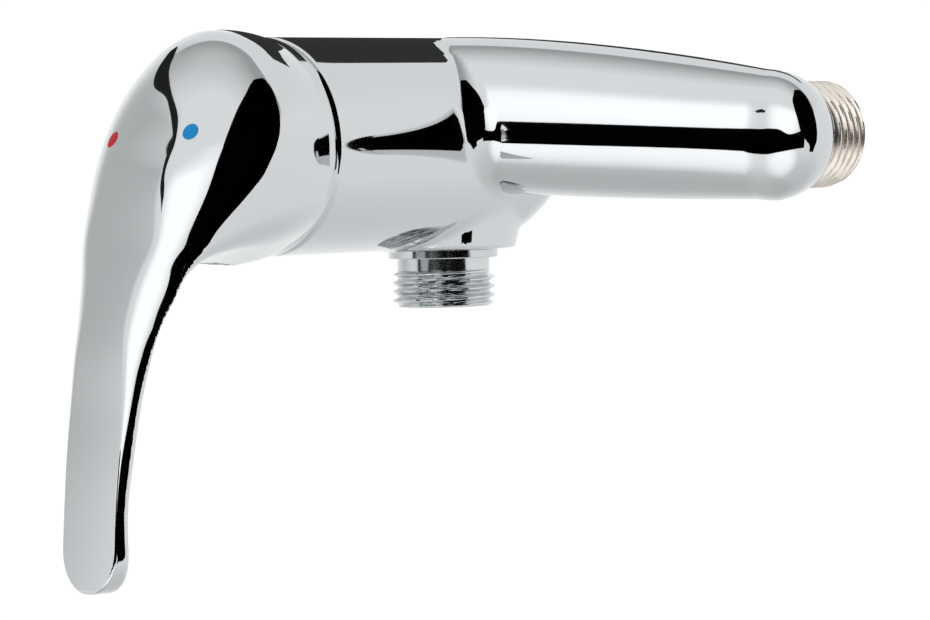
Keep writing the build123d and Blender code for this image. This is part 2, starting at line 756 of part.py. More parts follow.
# Lever handle: hood and paddle in one hollow casting with the spindle socket inside
boss_half = socket_boss_width / 2
inner_front_y = hood_front_y + hood_wall
mouth_y = hood_rim_y + hood_lip
mouth_radius = hood_rim_radius - hood_rim_wall
mark_planes = {
    "hot_mark": mark_plane(-mark_x, hot_mark_z),
    "cold_mark": mark_plane(mark_x, cold_mark_z),
}
with BuildPart() as lever_handle:
    add(hood_form.part)
    add(paddle.part)
    with BuildSketch(Plane.YZ):
        with BuildLine():
            Line((mouth_y, 0), (mouth_y, mouth_radius))
            Line((mouth_y, mouth_radius), (hood_centre_y, hood_radius - hood_wall))
            Spline(*dome_points(hood_wall), tangents=[(-1, 0), (0, -1)])
            Line((inner_front_y, 0), (mouth_y, 0))
        make_face()
    revolve(axis=Axis.Y, mode=Mode.SUBTRACT)
    with BuildSketch(Plane.XZ.offset(-socket_boss_rear_y)):
        Rectangle(socket_boss_width, socket_boss_width)
    extrude(amount=socket_boss_rear_y - inner_front_y)
    with BuildSketch(Plane.XY.offset(-boss_half)):
        with Locations((0, grub_y)):
            Circle(grub_boss_radius)
    extrude(amount=-(hood_radius - hood_wall - boss_half))
    with BuildSketch(Plane.XZ.offset(-socket_boss_rear_y)):
        Rectangle(spindle_width + 2 * socket_clearance, spindle_width + 2 * socket_clearance)
    extrude(amount=socket_boss_rear_y - spindle_front_y + socket_end_gap, mode=Mode.SUBTRACT)
    with BuildSketch(Plane.XY.offset(-spindle_half)):
        with Locations((0, grub_y)):
            Circle(grub_radius + grub_hole_clearance)
    extrude(amount=-paddle_drop, mode=Mode.SUBTRACT)
    for place in mark_planes.values():
        with BuildSketch(place):
            Circle(mark_radius + running_clearance)
        extrude(amount=2 * mark_depth, mode=Mode.SUBTRACT)
save(lever_handle.part, "lever_handle")

# Coloured marks let into the hood, flush with its face
for name, place in mark_planes.items():
    with BuildPart() as mark:
        with BuildSketch(place):
            Circle(mark_radius)
        extrude(amount=2 * mark_depth)
        add(hood_form.part, mode=Mode.INTERSECT)
    save(mark.part, name)

# Grub screw that clamps the spindle, with a hexagon socket in its outer end
grub_top_z = -spindle_half
with BuildPart() as lever_grub_screw:
    with BuildSketch(Plane.XY.offset(grub_top_z)):
        with Locations((0, grub_y)):
            Circle(grub_radius)
    extrude(amount=-grub_length)
    with BuildSketch(Plane.XY.offset(grub_top_z - grub_length)):
        with Locations((0, grub_y)):
            RegularPolygon(grub_hex_width / 2, 6, major_radius=False)
    extrude(amount=grub_hex_depth, mode=Mode.SUBTRACT)
save(lever_grub_screw.part, "lever_grub_screw")
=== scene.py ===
from math import cos, pi, radians, sin, sqrt

import bmesh
import bpy
import numpy as np
from mathutils import Matrix, Vector


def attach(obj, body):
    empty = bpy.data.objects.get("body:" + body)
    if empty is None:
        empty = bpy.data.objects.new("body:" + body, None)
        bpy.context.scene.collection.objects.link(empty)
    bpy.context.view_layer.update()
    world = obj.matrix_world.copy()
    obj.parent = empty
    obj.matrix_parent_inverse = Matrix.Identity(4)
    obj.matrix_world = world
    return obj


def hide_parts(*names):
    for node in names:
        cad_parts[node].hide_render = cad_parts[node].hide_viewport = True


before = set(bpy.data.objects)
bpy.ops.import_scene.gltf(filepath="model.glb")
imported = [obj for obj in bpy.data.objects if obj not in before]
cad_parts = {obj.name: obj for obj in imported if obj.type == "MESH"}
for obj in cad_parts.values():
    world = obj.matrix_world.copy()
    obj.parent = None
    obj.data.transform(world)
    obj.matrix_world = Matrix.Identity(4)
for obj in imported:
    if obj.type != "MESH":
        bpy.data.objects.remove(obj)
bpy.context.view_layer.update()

# Camera: stands to the right of the mixer at the height of its barrel, far enough away for a flat view.
# Its angle, distance and lens are those of the photograph.
view_side = radians(45.371)
view_roll = radians(1.318)
camera_place = (0.55636, -0.57628, -0.000894)
sensor_width = 36
picture_width = 930
focal_length = 3793.45
look = Vector((-0.71101, 0.70187, -0.04290)).normalized()
level = Vector((cos(view_side), sin(view_side), 0))
raised = level.cross(look).normalized()
camera_x = cos(view_roll) * level - sin(view_roll) * raised
camera_y = sin(view_roll) * level + cos(view_roll) * raised
camera_data = bpy.data.cameras.new("camera")
camera_data.sensor_width = sensor_width
camera_data.lens = focal_length * sensor_width / picture_width
camera_data.clip_start = 0.01
camera_data.clip_end = 50
camera = bpy.data.objects.new("camera", camera_data)
bpy.context.collection.objects.link(camera)
camera.matrix_world = Matrix.Translation(camera_place) @ Matrix(
    (
        (camera_x.x, camera_y.x, -look.x, 0),
        (camera_x.y, camera_y.y, -look.y, 0),
        (camera_x.z, camera_y.z, -look.z, 0),
        (0, 0, 0, 1),
    )
)
bpy.context.scene.camera = camera
bpy.context.scene.view_settings.view_transform = "Standard"


# Studio: a pale floor well below the mixer and a white surround that is brightest near the horizon.
# Black flags outside the picture give the polished chrome its dark reflections, and a grey screen overhead
# with a straight edge shades its upper curves.
def build_mesh(name, points, faces):
    """A mesh object at the origin, its place in its mesh."""
    mesh = bpy.data.meshes.new(name)
    mesh.from_pydata([tuple(p) for p in points], [], [tuple(f) for f in faces])
    mesh.update()
    thing = bpy.data.objects.new(name, mesh)
    bpy.context.collection.objects.link(thing)
    return thing


def stage_material(name, colour, glow):
    """Matt studio surface with a little light of its own."""
    material = bpy.data.materials.new(name)
    material.use_nodes = True
    shader = material.node_tree.nodes["Principled BSDF"]
    shader.inputs["Base Color"].default_value = (*colour, 1)
    shader.inputs["Roughness"].default_value = 1.0
    shader.inputs["Specular IOR Level"].default_value = 0.0
    shader.inputs["Emission Color"].default_value = (1, 1, 1, 1)
    shader.inputs["Emission Strength"].default_value = glow
    return material


floor_z = -2.6
floor_reach = 12
floor = build_mesh(
    "floor",
    [(x * floor_reach, y * floor_reach, floor_z) for x, y in ((-1, -1), (1, -1), (1, 1), (-1, 1))],
    [(0, 1, 2, 3)],
)
floor.data.materials.append(stage_material("pale_floor", (0.4, 0.4, 0.4), 1.0))
floor.visible_glossy = False


def through(stations, values, at):
    """Smooth line through values measured at rising stations."""
    stations = np.asarray(stations, float)
    values = np.asarray(values, float)
    gap = np.diff(stations)
    count = len(stations)
    matrix = np.eye(count)
    bend = np.zeros(count)
    for i in range(1, count - 1):
        matrix[i, i - 1 : i + 2] = gap[i - 1], 2 * (gap[i - 1] + gap[i]), gap[i]
        bend[i] = 6 * ((values[i + 1] - values[i]) / gap[i] - (values[i] - values[i - 1]) / gap[i - 1])
    curve = np.linalg.solve(matrix, bend)
    at = np.clip(at, stations[0], stations[-1])
    i = np.clip(np.searchsorted(stations, at) - 1, 0, count - 2)
    a = (stations[i + 1] - at) / gap[i]
    b = 1 - a
    bent = ((a**3 - a) * curve[i] + (b**3 - b) * curve[i + 1]) * gap[i] ** 2 / 6
    return a * values[i] + b * values[i + 1] + bent


def heading(turn, rise):
    """Direction by its turn from the wall side towards the right, and its rise, in degrees."""
    turn, rise = radians(turn), radians(rise)
    return Vector((cos(rise) * sin(turn), cos(rise) * cos(turn), sin(rise)))


studio_hub = Vector((0, -0.04, 0))
flag_distance = 3.0
flag_cells = 6


def black_flag(name, edges, tone):
    """Dark card that only reflections see: a band between two edges, each row the turn and rise of both."""
    rows = np.array(edges, float)
    steps = np.linspace(0, len(rows) - 1, flag_cells * (len(rows) - 1) + 1)
    columns = [through(np.arange(len(rows)), rows[:, i], steps) for i in range(4)]
    points, faces = [], []
    for turn_a, rise_a, turn_b, rise_b in zip(*columns):
        for share in np.linspace(0, 1, flag_cells + 1):
            place = heading(turn_a + share * (turn_b - turn_a), rise_a + share * (rise_b - rise_a))
            points.append(studio_hub + place * flag_distance)
    for row in range(len(steps) - 1):
        for cell in range(flag_cells):
            corner = row * (flag_cells + 1) + cell
            above = corner + flag_cells + 1
            faces.append((corner, corner + 1, above + 1, above))
    flag = build_mesh(name, points, faces)
    flag.data.materials.append(stage_material(name, (0, 0, 0), tone))
    flag.visible_camera = False
    flag.visible_shadow = False
    flag.visible_diffuse = False


camera_side_edges = [
    (92, 74, 108, 74), (63, 70, 124, 70), (59, 64, 134, 64), (61, 57, 142, 57), (66, 50, 146, 50),
    (70, 42, 146, 42), (72, 33, 144, 33), (74, 25, 141.5, 25), (75, 15, 139, 15), (76, 8, 137, 8),
    (76, 2, 133, 2), (77, -4, 127, -4), (78, -10, 118, -10), (83, -16, 108, -16), (88, -26, 104, -26),
]
black_flag("camera_side_flag", camera_side_edges, 0.0)
slit_edges = [
    (125, -19, 125, 6), (133, -19, 133, 6), (140, -19, 140, 4), (150, -19, 150, 2), (160, -19, 160, 1),
    (168, -19, 168, 3), (175, -19, 175, 6), (181, -19, 181, 7), (187, -19, 187, 7), (193, -19, 193, 7),
    (202, -18, 202, 6),
]
black_flag("front_slit_flag", slit_edges, 0.0)
ridge_edges = [
    (200, 22.5, 199, 24.5), (206, 23.6, 204, 27.3), (214, 26, 212, 30.5), (224, 31, 222, 35.3),
    (232, 33, 231, 37), (238, 34.8, 237, 37.6), (243, 35.2, 243, 38.3), (249, 34.3, 250, 38.6),
    (257, 32.6, 258, 38), (268, 30.8, 270, 36), (278, 28.8, 280, 33), (285, 27.5, 286, 29.5),
]
black_flag("ridge_flag", ridge_edges, 0.02)
back_gap_edges = [
    (311, 1, 318, 1), (310, 10, 318, 10), (312, 21, 321.5, 17), (315, 29.5, 325.5, 23.5),
    (320, 37, 330, 29), (327, 41.5, 334, 34), (334, 44, 337.5, 36), (345, 47, 345, 39.5),
    (352, 47.5, 352, 41),
]
black_flag("back_gap_flag", back_gap_edges, 0.04)

# Each light or shade by its turn, its rise, its spread and its gain.
soft_lights = {
    "front_high": (168, 20, 34, 0.55),
    "front_low": (175, -30, 32, 0.5),
    "left_shade": (250, 22, 38, -0.4),
    "left_low_shade": (250, -62, 40, -0.12),
}
surround = bpy.data.worlds.new("white_surround")
bpy.context.scene.world = surround
surround.use_nodes = True
sky = surround.node_tree
sky.nodes.clear()
sky_output = sky.nodes.new("ShaderNodeOutputWorld")
sky_coordinate = sky.nodes.new("ShaderNodeTexCoord")
sky_split = sky.nodes.new("ShaderNodeSeparateXYZ")
sky.links.new(sky_coordinate.outputs["Generated"], sky_split.inputs[0])
sky_shift = sky.nodes.new("ShaderNodeMath")
sky_shift.operation = "MULTIPLY_ADD"
sky_shift.inputs[1].default_value = 0.5
sky_shift.inputs[2].default_value = 0.5
sky.links.new(sky_split.outputs["Z"], sky_shift.inputs[0])
sky_ramp = sky.nodes.new("ShaderNodeValToRGB")
sky.links.new(sky_shift.outputs[0], sky_ramp.inputs["Fac"])
sky_tones = {0.0: 0.74, 0.1: 0.8, 0.28: 0.97, 0.5: 1.0, 0.72: 1.03, 0.86: 0.96, 1.0: 0.92}
for place, tone in sky_tones.items():
    stop = sky_ramp.color_ramp.elements.new(place)
    stop.color = (tone, tone, tone, 1)
sky_ramp.color_ramp.elements.remove(sky_ramp.color_ramp.elements[0])
sky_ramp.color_ramp.elements.remove(sky_ramp.color_ramp.elements[-1])
strength = sky_ramp.outputs["Color"]
for turn, rise, spread, gain in soft_lights.values():
    toward = sky.nodes.new("ShaderNodeVectorMath")
    toward.operation = "DOT_PRODUCT"
    toward.inputs[1].default_value = heading(turn, rise)
    sky.links.new(sky_coordinate.outputs["Generated"], toward.inputs[0])
    glow = sky.nodes.new("ShaderNodeMapRange")
    glow.interpolation_type = "SMOOTHSTEP"
    glow.inputs["From Min"].default_value = cos(radians(spread))
    glow.inputs["From Max"].default_value = 1.0
    glow.inputs["To Max"].default_value = gain
    sky.links.new(toward.outputs["Value"], glow.inputs["Value"])
    total = sky.nodes.new("ShaderNodeMath")
    sky.links.new(strength, total.inputs[0])
    sky.links.new(glow.outputs[0], total.inputs[1])
    strength = total.outputs[0]
# Each fade of the screen by its axis, where it starts and ends there, and its values at both.
top_screen = {"Tone": ("Y", -0.5, 0.05, 1.05, 0.47), "Height": ("Z", 0.5, 0.64, 0, 1)}
screen_edge_across = (-0.17, 1, 0)
screen_edge_start, screen_edge_end = 0.22, 0.2
screen_parts = {}
for part, (axis, start, end, low, high) in top_screen.items():
    fade = sky.nodes.new("ShaderNodeMapRange")
    for socket, amount in (("From Min", start), ("From Max", end), ("To Min", low), ("To Max", high)):
        fade.inputs[socket].default_value = amount
    sky.links.new(sky_split.outputs[axis], fade.inputs["Value"])
    screen_parts[part] = fade.outputs[0]
screen_edge = sky.nodes.new("ShaderNodeVectorMath")
screen_edge.operation = "DOT_PRODUCT"
screen_edge.inputs[1].default_value = screen_edge_across
sky.links.new(sky_coordinate.outputs["Generated"], screen_edge.inputs[0])
in_front = sky.nodes.new("ShaderNodeMapRange")
in_front.inputs["From Min"].default_value = screen_edge_start
in_front.inputs["From Max"].default_value = screen_edge_end
sky.links.new(screen_edge.outputs["Value"], in_front.inputs["Value"])
covered = sky.nodes.new("ShaderNodeMath")
covered.operation = "MULTIPLY"
sky.links.new(in_front.outputs[0], covered.inputs[0])
sky.links.new(screen_parts["Height"], covered.inputs[1])
screened = sky.nodes.new("ShaderNodeMix")
sky.links.new(covered.outputs[0], screened.inputs["Factor"])
sky.links.new(strength, screened.inputs["A"])
sky.links.new(screen_parts["Tone"], screened.inputs["B"])
strength = screened.outputs["Result"]
sky_light = sky.nodes.new("ShaderNodeBackground")
sky_light.inputs["Color"].default_value = (0.985, 0.995, 1.0, 1)
sky.links.new(strength, sky_light.inputs["Strength"])
backdrop = sky.nodes.new("ShaderNodeBackground")
backdrop.inputs["Color"].default_value = (1, 1, 1, 1)
backdrop.inputs["Strength"].default_value = 1.02
seen = sky.nodes.new("ShaderNodeLightPath")
sky_mix = sky.nodes.new("ShaderNodeMixShader")
sky.links.new(seen.outputs["Is Camera Ray"], sky_mix.inputs["Fac"])
sky.links.new(sky_light.outputs[0], sky_mix.inputs[1])
sky.links.new(backdrop.outputs[0], sky_mix.inputs[2])
sky.links.new(sky_mix.outputs[0], sky_output.inputs["Surface"])


# Body casting: one brass casting of barrel, two swept arms, round noses and outlet boss, chromium plated.
# Every junction is blended by the foundry pattern, so the skin is worked out as one rounded form.
mm = 0.001


def rounded_join(a, b, roundness):
    """Union of two forms, each given as the distance outside it, with a hollow of that radius between."""
    near_a = np.maximum(roundness - a, 0)
    near_b = np.maximum(roundness - b, 0)
    return np.maximum(roundness, np.minimum(a, b)) - np.sqrt(near_a**2 + near_b**2)


def rounded_corner(a, b, radius):
    """Intersection of two forms whose outer corner is rounded."""
    out_a = np.maximum(a + radius, 0)
    out_b = np.maximum(b + radius, 0)
    return np.sqrt(out_a**2 + out_b**2) + np.minimum(np.maximum(a, b) + radius, 0) - radius


def oval_gap(u, v, half_u, half_v, fullness=2.0):
    """Rough distance outside an oval with the given half axes."""
    away = np.sqrt(u * u + v * v) + 1e-9
    share = ((np.abs(u) / half_u) ** fullness + (np.abs(v) / half_v) ** fullness) ** (1 / fullness) + 1e-9
    return away - away / share


slope_step = 0.02


def slope(form, points):
    """Direction in which a form's distance grows at each point."""
    rise = np.empty_like(points)
    for axis in range(3):
        nudge = np.zeros(3)
        nudge[axis] = slope_step
        rise[:, axis] = (form(points + nudge) - form(points - nudge)) / (2 * slope_step)
    return rise


grid_batches = 8
settling_passes = 5


def cast_skin(form, low, high, step):
    """Closed skin of quads over a form: a net over the cells that its surface crosses, drawn onto it."""
    low = np.array(low, float)
    count = np.ceil((np.array(high) - low) / step).astype(int) + 1
    axes = [low[i] + step * np.arange(count[i]) for i in range(3)]
    grid = np.stack(np.meshgrid(*axes, indexing="ij"), -1).reshape(-1, 3)
    value = np.concatenate([form(part) for part in np.array_split(grid, grid_batches)])
    value = value.reshape(count)
    middle = np.zeros((*(count - 1), 3))
    hits = np.zeros(count - 1)
    crossings = []
    for axis in range(3):
        here = [slice(None)] * 3
        there = [slice(None)] * 3
        here[axis] = slice(0, -1)
        there[axis] = slice(1, None)
        start, end = value[tuple(here)], value[tuple(there)]
        crossed = (start < 0) != (end < 0)
        cell = np.argwhere(crossed)
        point = low + step * cell.astype(float)
        point[:, axis] += step * (start / (start - end))[crossed]
        sides = [i for i in range(3) if i != axis]
        for back_one in (0, 1):
            for back_two in (0, 1):
                near = cell.copy()
                near[:, sides[0]] -= back_one
                near[:, sides[1]] -= back_two
                np.add.at(middle, tuple(near.T), point)
                np.add.at(hits, tuple(near.T), 1)
        crossings.append((axis, cell, (start < 0)[crossed]))
    used = hits > 0
    number = np.full(count - 1, -1)
    number[used] = np.arange(used.sum())
    points = middle[used] / hits[used][:, None]
    faces = []
    for axis, cell, leaving in crossings:
        one, two = (axis + 1) % 3, (axis + 2) % 3
        ring = []
        for back_one, back_two in ((0, 0), (1, 0), (1, 1), (0, 1)):
            near = cell.copy()
            near[:, one] -= back_one
            near[:, two] -= back_two
            ring.append(number[tuple(near.T)])
        quads = np.stack(ring, 1)
        quads[~leaving] = quads[~leaving][:, ::-1]
        faces.append(quads)
    for _ in range(settling_passes):
        rise = slope(form, points)
        stretch = np.maximum((rise * rise).sum(1), 0.05)
        points = points - np.clip(form(points) / stretch, -1, 1)[:, None] * rise
    return points * mm, np.concatenate(faces)


barrel_radius = 21.5
barrel_front_y = -82.0
barrel_front_round = 2.0
barrel_middle_y = -48
barrel_rear_y = -14.0
barrel_rear_round = 6.0
barrel_rear_low_round = 13.0
arm_sweep = radians(20)
arm_root_x, inlet_x = 6.0, 75.0
arm_ridge_y = -11.7
arm_end_bend = 4.2
arm_front_depth = 11.8
arm_back_depth, arm_back_taper = 15.0, 10.0
arm_root_top, arm_root_bottom = 21.4, 9.3
arm_root_lift = 3.0
arm_top_curve = 1.68
arm_belly = 0.85
arm_end_inset = 0.2
nose_radius = 12.6
nose_widest_y = -16.2
nose_front_depth, nose_rear_depth = 7.4, 11.2
nose_join = 0.6
inlet_shoulder_y = -9.9
outlet_y = -33.0
boss_radius = 14.9
boss_bottom_z = -21.6
boss_draft = radians(12)
boss_edge_round = 0.8


def barrel_form(x, y, z):
    """Round barrel with a crisp front edge and a soft rear edge, softest below."""
    radial = np.sqrt(x * x + z * z) - barrel_radius
    front = rounded_corner(radial, barrel_front_y - y, barrel_front_round)
    rear_round = np.interp(z, [-20, -5], [barrel_rear_low_round, barrel_rear_round])
    rear = rounded_corner(radial, y - barrel_rear_y, rear_round)
    return np.where(y < barrel_middle_y, front, rear)


def arm_form(x, y, z):
    """Both arms: four quarter ovals around a ridge that sweeps back and bends forwards at its end."""
    from_end = (inlet_x - x) * cos(arm_sweep) + (arm_ridge_y - y) * sin(arm_sweep)
    section_x = inlet_x - from_end * cos(arm_sweep)
    share = np.clip((section_x - arm_root_x) / (inlet_x - arm_root_x), 0, 1)
    bend = arm_end_bend * share**4
    end_height = nose_radius - arm_end_inset
    lift = arm_root_lift * (1 - share)
    front = arm_front_depth - bend
    back = arm_back_depth - arm_back_taper * share
    top = arm_root_top + (end_height - arm_root_top) * share**arm_top_curve - lift
    bottom = arm_root_bottom + (end_height - arm_root_bottom) * share + lift
    bottom = bottom + arm_belly * np.sin(pi * share)
    across = (inlet_x - x) * sin(arm_sweep) + (y - arm_ridge_y) * cos(arm_sweep) + bend * cos(arm_sweep)
    upright = z - lift
    depth = np.where(across > 0, back, front)
    height = np.where(upright > 0, top, bottom)
    skin = oval_gap(across, upright, depth, height)
    return np.maximum(skin, np.maximum(section_x - inlet_x, arm_root_x - section_x))


def nose_form(x, y, z):
    """Bun over the nipple, flatter in front than behind."""
    radial = np.sqrt((x - inlet_x) ** 2 + z * z)
    behind = y - nose_widest_y
    return oval_gap(behind, radial, np.where(behind < 0, nose_front_depth, nose_rear_depth), nose_radius)


def boss_form(x, y, z):
    """Drafted round boss that the outlet nipple is screwed into."""
    radial = np.sqrt(x * x + (y - outlet_y) ** 2)
    flank = (radial - boss_radius - (z - boss_bottom_z) * np.tan(boss_draft)) * cos(boss_draft)
    return np.maximum(rounded_corner(flank, boss_bottom_z - z, boss_edge_round), z)


def body_form(points):
    """Whole casting; the hollow at the arm's root is deepest at mid height and fades out behind."""
    x, y, z = points.T
    x = np.abs(x)
    arm = rounded_join(arm_form(x, y, z), nose_form(x, y, z), nose_join)
    root_hollow = np.interp(z, [-12, 0, 7, 18], [1.0, 4.6, 4.6, 0.8])
    root_hollow = root_hollow * np.interp(y, [-26, -19], [1.0, 0.3])
    barrel_and_arms = rounded_join(barrel_form(x, y, z), arm, root_hollow)
    boss_hollow = np.interp(y, [-33, -22], [1.2, 0.5])
    return rounded_join(barrel_and_arms, boss_form(x, y, z), boss_hollow)


around = 128


def turned_shape(outline):
    """Points and faces turned about the local Z axis from an outline of heights and radii."""
    points, faces = [], []
    for height, radius in outline:
        for step in range(around):
            angle = 2 * pi * step / around
            points.append((radius * cos(angle) * mm, radius * sin(angle) * mm, height * mm))
    for first in range(0, (len(outline) - 1) * around, around):
        upper = first + around
        for step in range(around):
            following = (step + 1) % around
            faces.append((first + step, first + following, upper + following, upper + step))
    return points, faces


def along(start, direction):
    """Matrix that sets the local Z axis on a start point and a direction, in millimetres."""
    turn = Vector(direction).to_track_quat("Z", "Y").to_matrix().to_4x4()
    return Matrix.Translation(Vector(start) * mm) @ turn


def close_up(thing):
    """Merge doubled points and turn all faces outwards."""
    made = bmesh.new()
    made.from_mesh(thing.data)
    bmesh.ops.remove_doubles(made, verts=made.verts, dist=1e-7)
    bmesh.ops.dissolve_degenerate(made, edges=made.edges, dist=1e-8)
    bmesh.ops.recalc_face_normals(made, faces=made.faces)
    made.to_mesh(thing.data)
    made.free()


def turned_piece(name, outline, start, direction):
    """Closed turned solid, set on its start point and direction."""
    piece = build_mesh(name, *turned_shape(outline))
    close_up(piece)
    piece.data.transform(along(start, direction))
    return piece


def drill(start, end, radius):
    """Round cutter from one point to another."""
    length = (Vector(end) - Vector(start)).length
    outline = [(0, 0), (0, radius), (length, radius), (length, 0)]
    return turned_piece("drill", outline, start, Vector(end) - Vector(start))


def machine(blank, steps):
    """Cut or add each shape in turn, then keep the result as a plain mesh."""
    for shape, operation in steps:
        change = blank.modifiers.new(operation.lower(), "BOOLEAN")
        change.object = shape
        change.operation = operation
        change.solver = "MANIFOLD"
    evaluated = blank.evaluated_get(bpy.context.evaluated_depsgraph_get())
    finished = bpy.data.meshes.new_from_object(evaluated)
    blank.modifiers.clear()
    finished.materials.clear()
    blank.data = finished
    for shape, _ in steps:
        bpy.data.objects.remove(shape)


skin_tolerance = 0.05
facing_tolerance = 0.6


def polish(thing, form):
    """Shade the cast skin by the form's own slope and each machined face by its flat normal."""
    mesh = thing.data
    points = np.empty(len(mesh.vertices) * 3)
    mesh.vertices.foreach_get("co", points)
    points = points.reshape(-1, 3) / mm
    rise = slope(form, points)
    rise /= np.linalg.norm(rise, axis=1, keepdims=True) + 1e-12
    on_skin = np.abs(form(points)) < skin_tolerance
    corner_point = np.empty(len(mesh.loops), int)
    mesh.loops.foreach_get("vertex_index", corner_point)
    flat = np.empty(len(mesh.polygons) * 3)
    mesh.polygons.foreach_get("normal", flat)
    corners = np.empty(len(mesh.polygons), int)
    mesh.polygons.foreach_get("loop_total", corners)
    flat = np.repeat(flat.reshape(-1, 3), corners, axis=0)
    smooth = rise[corner_point]
    cast = on_skin[corner_point] & ((smooth * flat).sum(1) > facing_tolerance)
    normals = np.where(cast[:, None], smooth, flat)
    mesh.polygons.foreach_set("use_smooth", np.ones(len(mesh.polygons), bool))
    mesh.normals_split_custom_set(normals.tolist())


def surface_finish(name, metallic, tints, rough, cloud, relief):
    """Finish whose tint and roughness drift in soft clouds over the surface, with a finer relief.

    The clouds have a scale and a detail; the relief has these, its strength and its depth in metres.
    """
    material = bpy.data.materials.new(name)
    material.use_nodes = True
    tree = material.node_tree
    shader = tree.nodes["Principled BSDF"]
    shader.inputs["Metallic"].default_value = metallic
    relief_scale, relief_detail, relief_strength, relief_depth = relief
    place = tree.nodes.new("ShaderNodeTexCoord")
    noises = []
    for scale, detail in (cloud, (relief_scale, relief_detail)):
        noise = tree.nodes.new("ShaderNodeTexNoise")
        noise.inputs["Scale"].default_value = scale
        noise.inputs["Detail"].default_value = detail
        tree.links.new(place.outputs["Object"], noise.inputs["Vector"])
        noises.append(noise.outputs["Fac"])
    drift, grain = noises
    tint = tree.nodes.new("ShaderNodeMix")
    tint.data_type = "RGBA"
    tint.inputs["A"].default_value = (*tints[0], 1)
    tint.inputs["B"].default_value = (*tints[1], 1)
    tree.links.new(drift, tint.inputs["Factor"])
    tree.links.new(tint.outputs["Result"], shader.inputs["Base Color"])
    softness = tree.nodes.new("ShaderNodeMapRange")
    softness.inputs["To Min"].default_value = rough[0]
    softness.inputs["To Max"].default_value = rough[1]
    tree.links.new(drift, softness.inputs["Value"])
    tree.links.new(softness.outputs[0], shader.inputs["Roughness"])
    bump = tree.nodes.new("ShaderNodeBump")
    bump.inputs["Strength"].default_value = relief_strength
    bump.inputs["Distance"].default_value = relief_depth
    tree.links.new(grain, bump.inputs["Height"])
    tree.links.new(bump.outputs["Normal"], shader.inputs["Normal"])
    return material


# Bright chromium is almost a mirror, with a faint polishing ripple and a breath of haze.
chrome_tints = (0.62, 0.64, 0.65), (0.655, 0.67, 0.675)
chrome_ripple = (140, 1, 0.02, 0.0003)
chrome = surface_finish("polished_chrome", 1.0, chrome_tints, (0.015, 0.05), (60, 3), chrome_ripple)
body_cell = 0.9
body_low, body_high = (-90, -84, -24), (90, -3, 24)
body_points, body_faces = cast_skin(body_form, body_low, body_high, body_cell)
body_casting = build_mesh("body_casting", body_points, body_faces)
pocket_floor_y = -46
pocket_outline = [
    (0, 0), (0, 17.6), (27.5, 17.6), (27.5, 18.75), (32, 18.75), (32, 19.3), (38, 19.3), (38, 0),
]
facing_radius = 14.0
inlet_seat_radius, inlet_seat_y = 8.45, -17.1
inlet_way_radius = 4.5
inlet_way_start_y, inlet_way_end_y = -16.2, -38.5
inlet_port_x, inlet_port_z = 6.2, 4
outlet_port_z = -8.4
port_radius, port_end_y = 3.4, -50
outlet_seat_radius, outlet_seat_z = 8.65, -13.4
outlet_way_radius = 6.0
# Each hole by its start, its end and its radius. It starts in the open or in the hole before it.
holes = []
for side in (-1, 1):
    nose_x = side * inlet_x
    port_x = side * inlet_port_x
    way_end = (port_x, inlet_way_end_y, inlet_port_z)
    holes += [
        ((nose_x, 0, 0), (nose_x, inlet_shoulder_y, 0), facing_radius),
        ((nose_x, -5, 0), (nose_x, inlet_seat_y, 0), inlet_seat_radius),
        ((nose_x, inlet_way_start_y, 0), way_end, inlet_way_radius),
        ((port_x, -37, inlet_port_z), (port_x, port_end_y, inlet_port_z), port_radius),
    ]
holes += [
    ((0, outlet_y, outlet_port_z), (0, port_end_y, outlet_port_z), port_radius),
    ((0, outlet_y, -30), (0, outlet_y, outlet_seat_z), outlet_seat_radius),
    ((0, outlet_y, -16), (0, outlet_y, -5), outlet_way_radius),
]
cuts = [(turned_piece("pocket", pocket_outline, (0, pocket_floor_y, 0), (0, -1, 0)), "DIFFERENCE")]
cuts += [(drill(*hole), "DIFFERENCE") for hole in holes]
machine(body_casting, cuts)
polish(body_casting, body_form)
body_casting.data.materials.append(chrome)
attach(body_casting, "fixed")
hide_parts("mixer_body")


